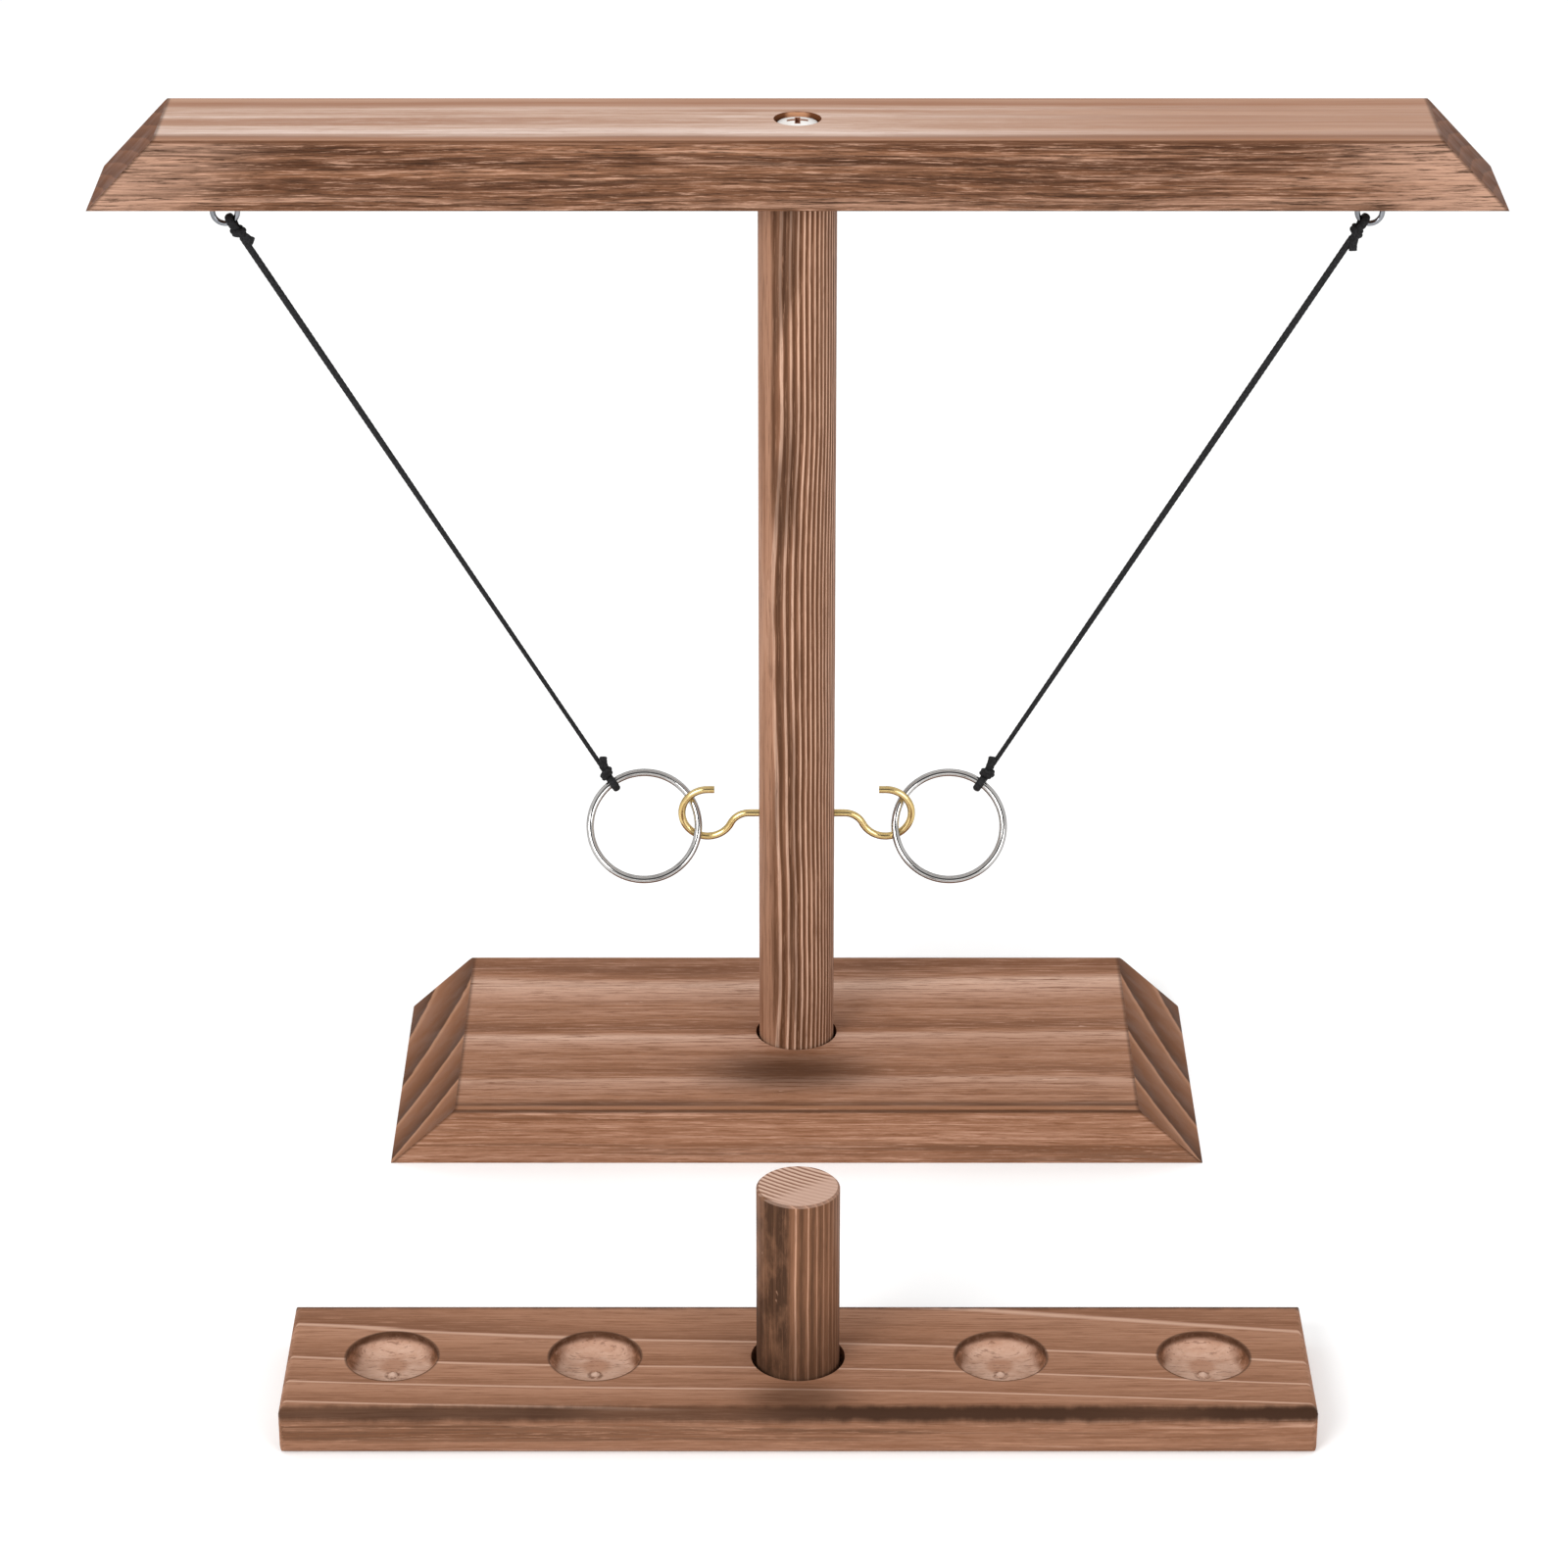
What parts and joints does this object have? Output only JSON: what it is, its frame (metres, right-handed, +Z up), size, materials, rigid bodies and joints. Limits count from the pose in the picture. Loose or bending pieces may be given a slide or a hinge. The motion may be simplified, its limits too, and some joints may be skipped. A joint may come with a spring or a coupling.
{
  "type": "ring toss set",
  "caption": "Tabletop hook and ring toss game: T-shaped wooden stand with cords, steel rings and brass hooks, and a dished score board with a loose peg.",
  "frame": {"origin": "on the table, below the middle of the whole set's box", "axes": "+X along the cross beam, +Y away from the player, +Z up"},
  "size_m": [0.387, 0.252, 0.3],
  "materials": {
    "board_wood": "carbonised and lightly sealed pine, satin",
    "dowel_wood": "carbonised pine dowel with strong growth stripes, satin",
    "screw_steel": "bright plated",
    "hook_brass": "polished brass plate",
    "ring_steel": "polished plated steel",
    "cord": "braided black cord"
  },
  "bodies": {
    "stand": {"base_board": "board_wood", "post": "dowel_wood", "cross_beam": "board_wood", "beam_screw": "screw_steel", "base_screw": "screw_steel", "left_hook": "hook_brass", "right_hook": "hook_brass", "left_eye": "ring_steel", "right_eye": "ring_steel"},
    "left_line": {"left_cord": "cord", "left_eye_knot": "cord", "left_ring_knot": "cord"},
    "right_line": {"right_cord": "cord", "right_eye_knot": "cord", "right_ring_knot": "cord"},
    "left_loop_ring": {"left_ring": "ring_steel"},
    "right_loop_ring": {"right_ring": "ring_steel"},
    "score": {"score_board": "board_wood"},
    "peg": {"score_peg": "dowel_wood"}
  },
  "joints": [
    {"name": "left_swing", "type": "hinge", "parent": "stand", "child": "left_line", "pos_m": [-0.158, 0.077, 0.2734], "axis": [0, -1, 0], "range_deg": [0, 4.5]},
    {"name": "right_swing", "type": "hinge", "parent": "stand", "child": "right_line", "pos_m": [0.158, 0.077, 0.2734], "axis": [0, 1, 0], "range_deg": [0, 4.5]},
    {"name": "left_ring_turn", "type": "hinge", "parent": "left_line", "child": "left_loop_ring", "pos_m": [-0.04449, 0.0755, 0.086], "axis": [0, -0.829, 0.5592], "continuous": true},
    {"name": "right_ring_turn", "type": "hinge", "parent": "right_line", "child": "right_loop_ring", "pos_m": [0.04449, 0.0755, 0.086], "axis": [0, -0.829, 0.5592], "continuous": true},
    {"name": "score_lift", "type": "slide", "parent": "stand", "child": "score", "axis": [0, 0, 1], "range_m": [0, 0.12]},
    {"name": "peg_lift", "type": "slide", "parent": "score", "child": "peg", "axis": [0, 0, 1], "range_m": [0, 0.06]}
  ]
}
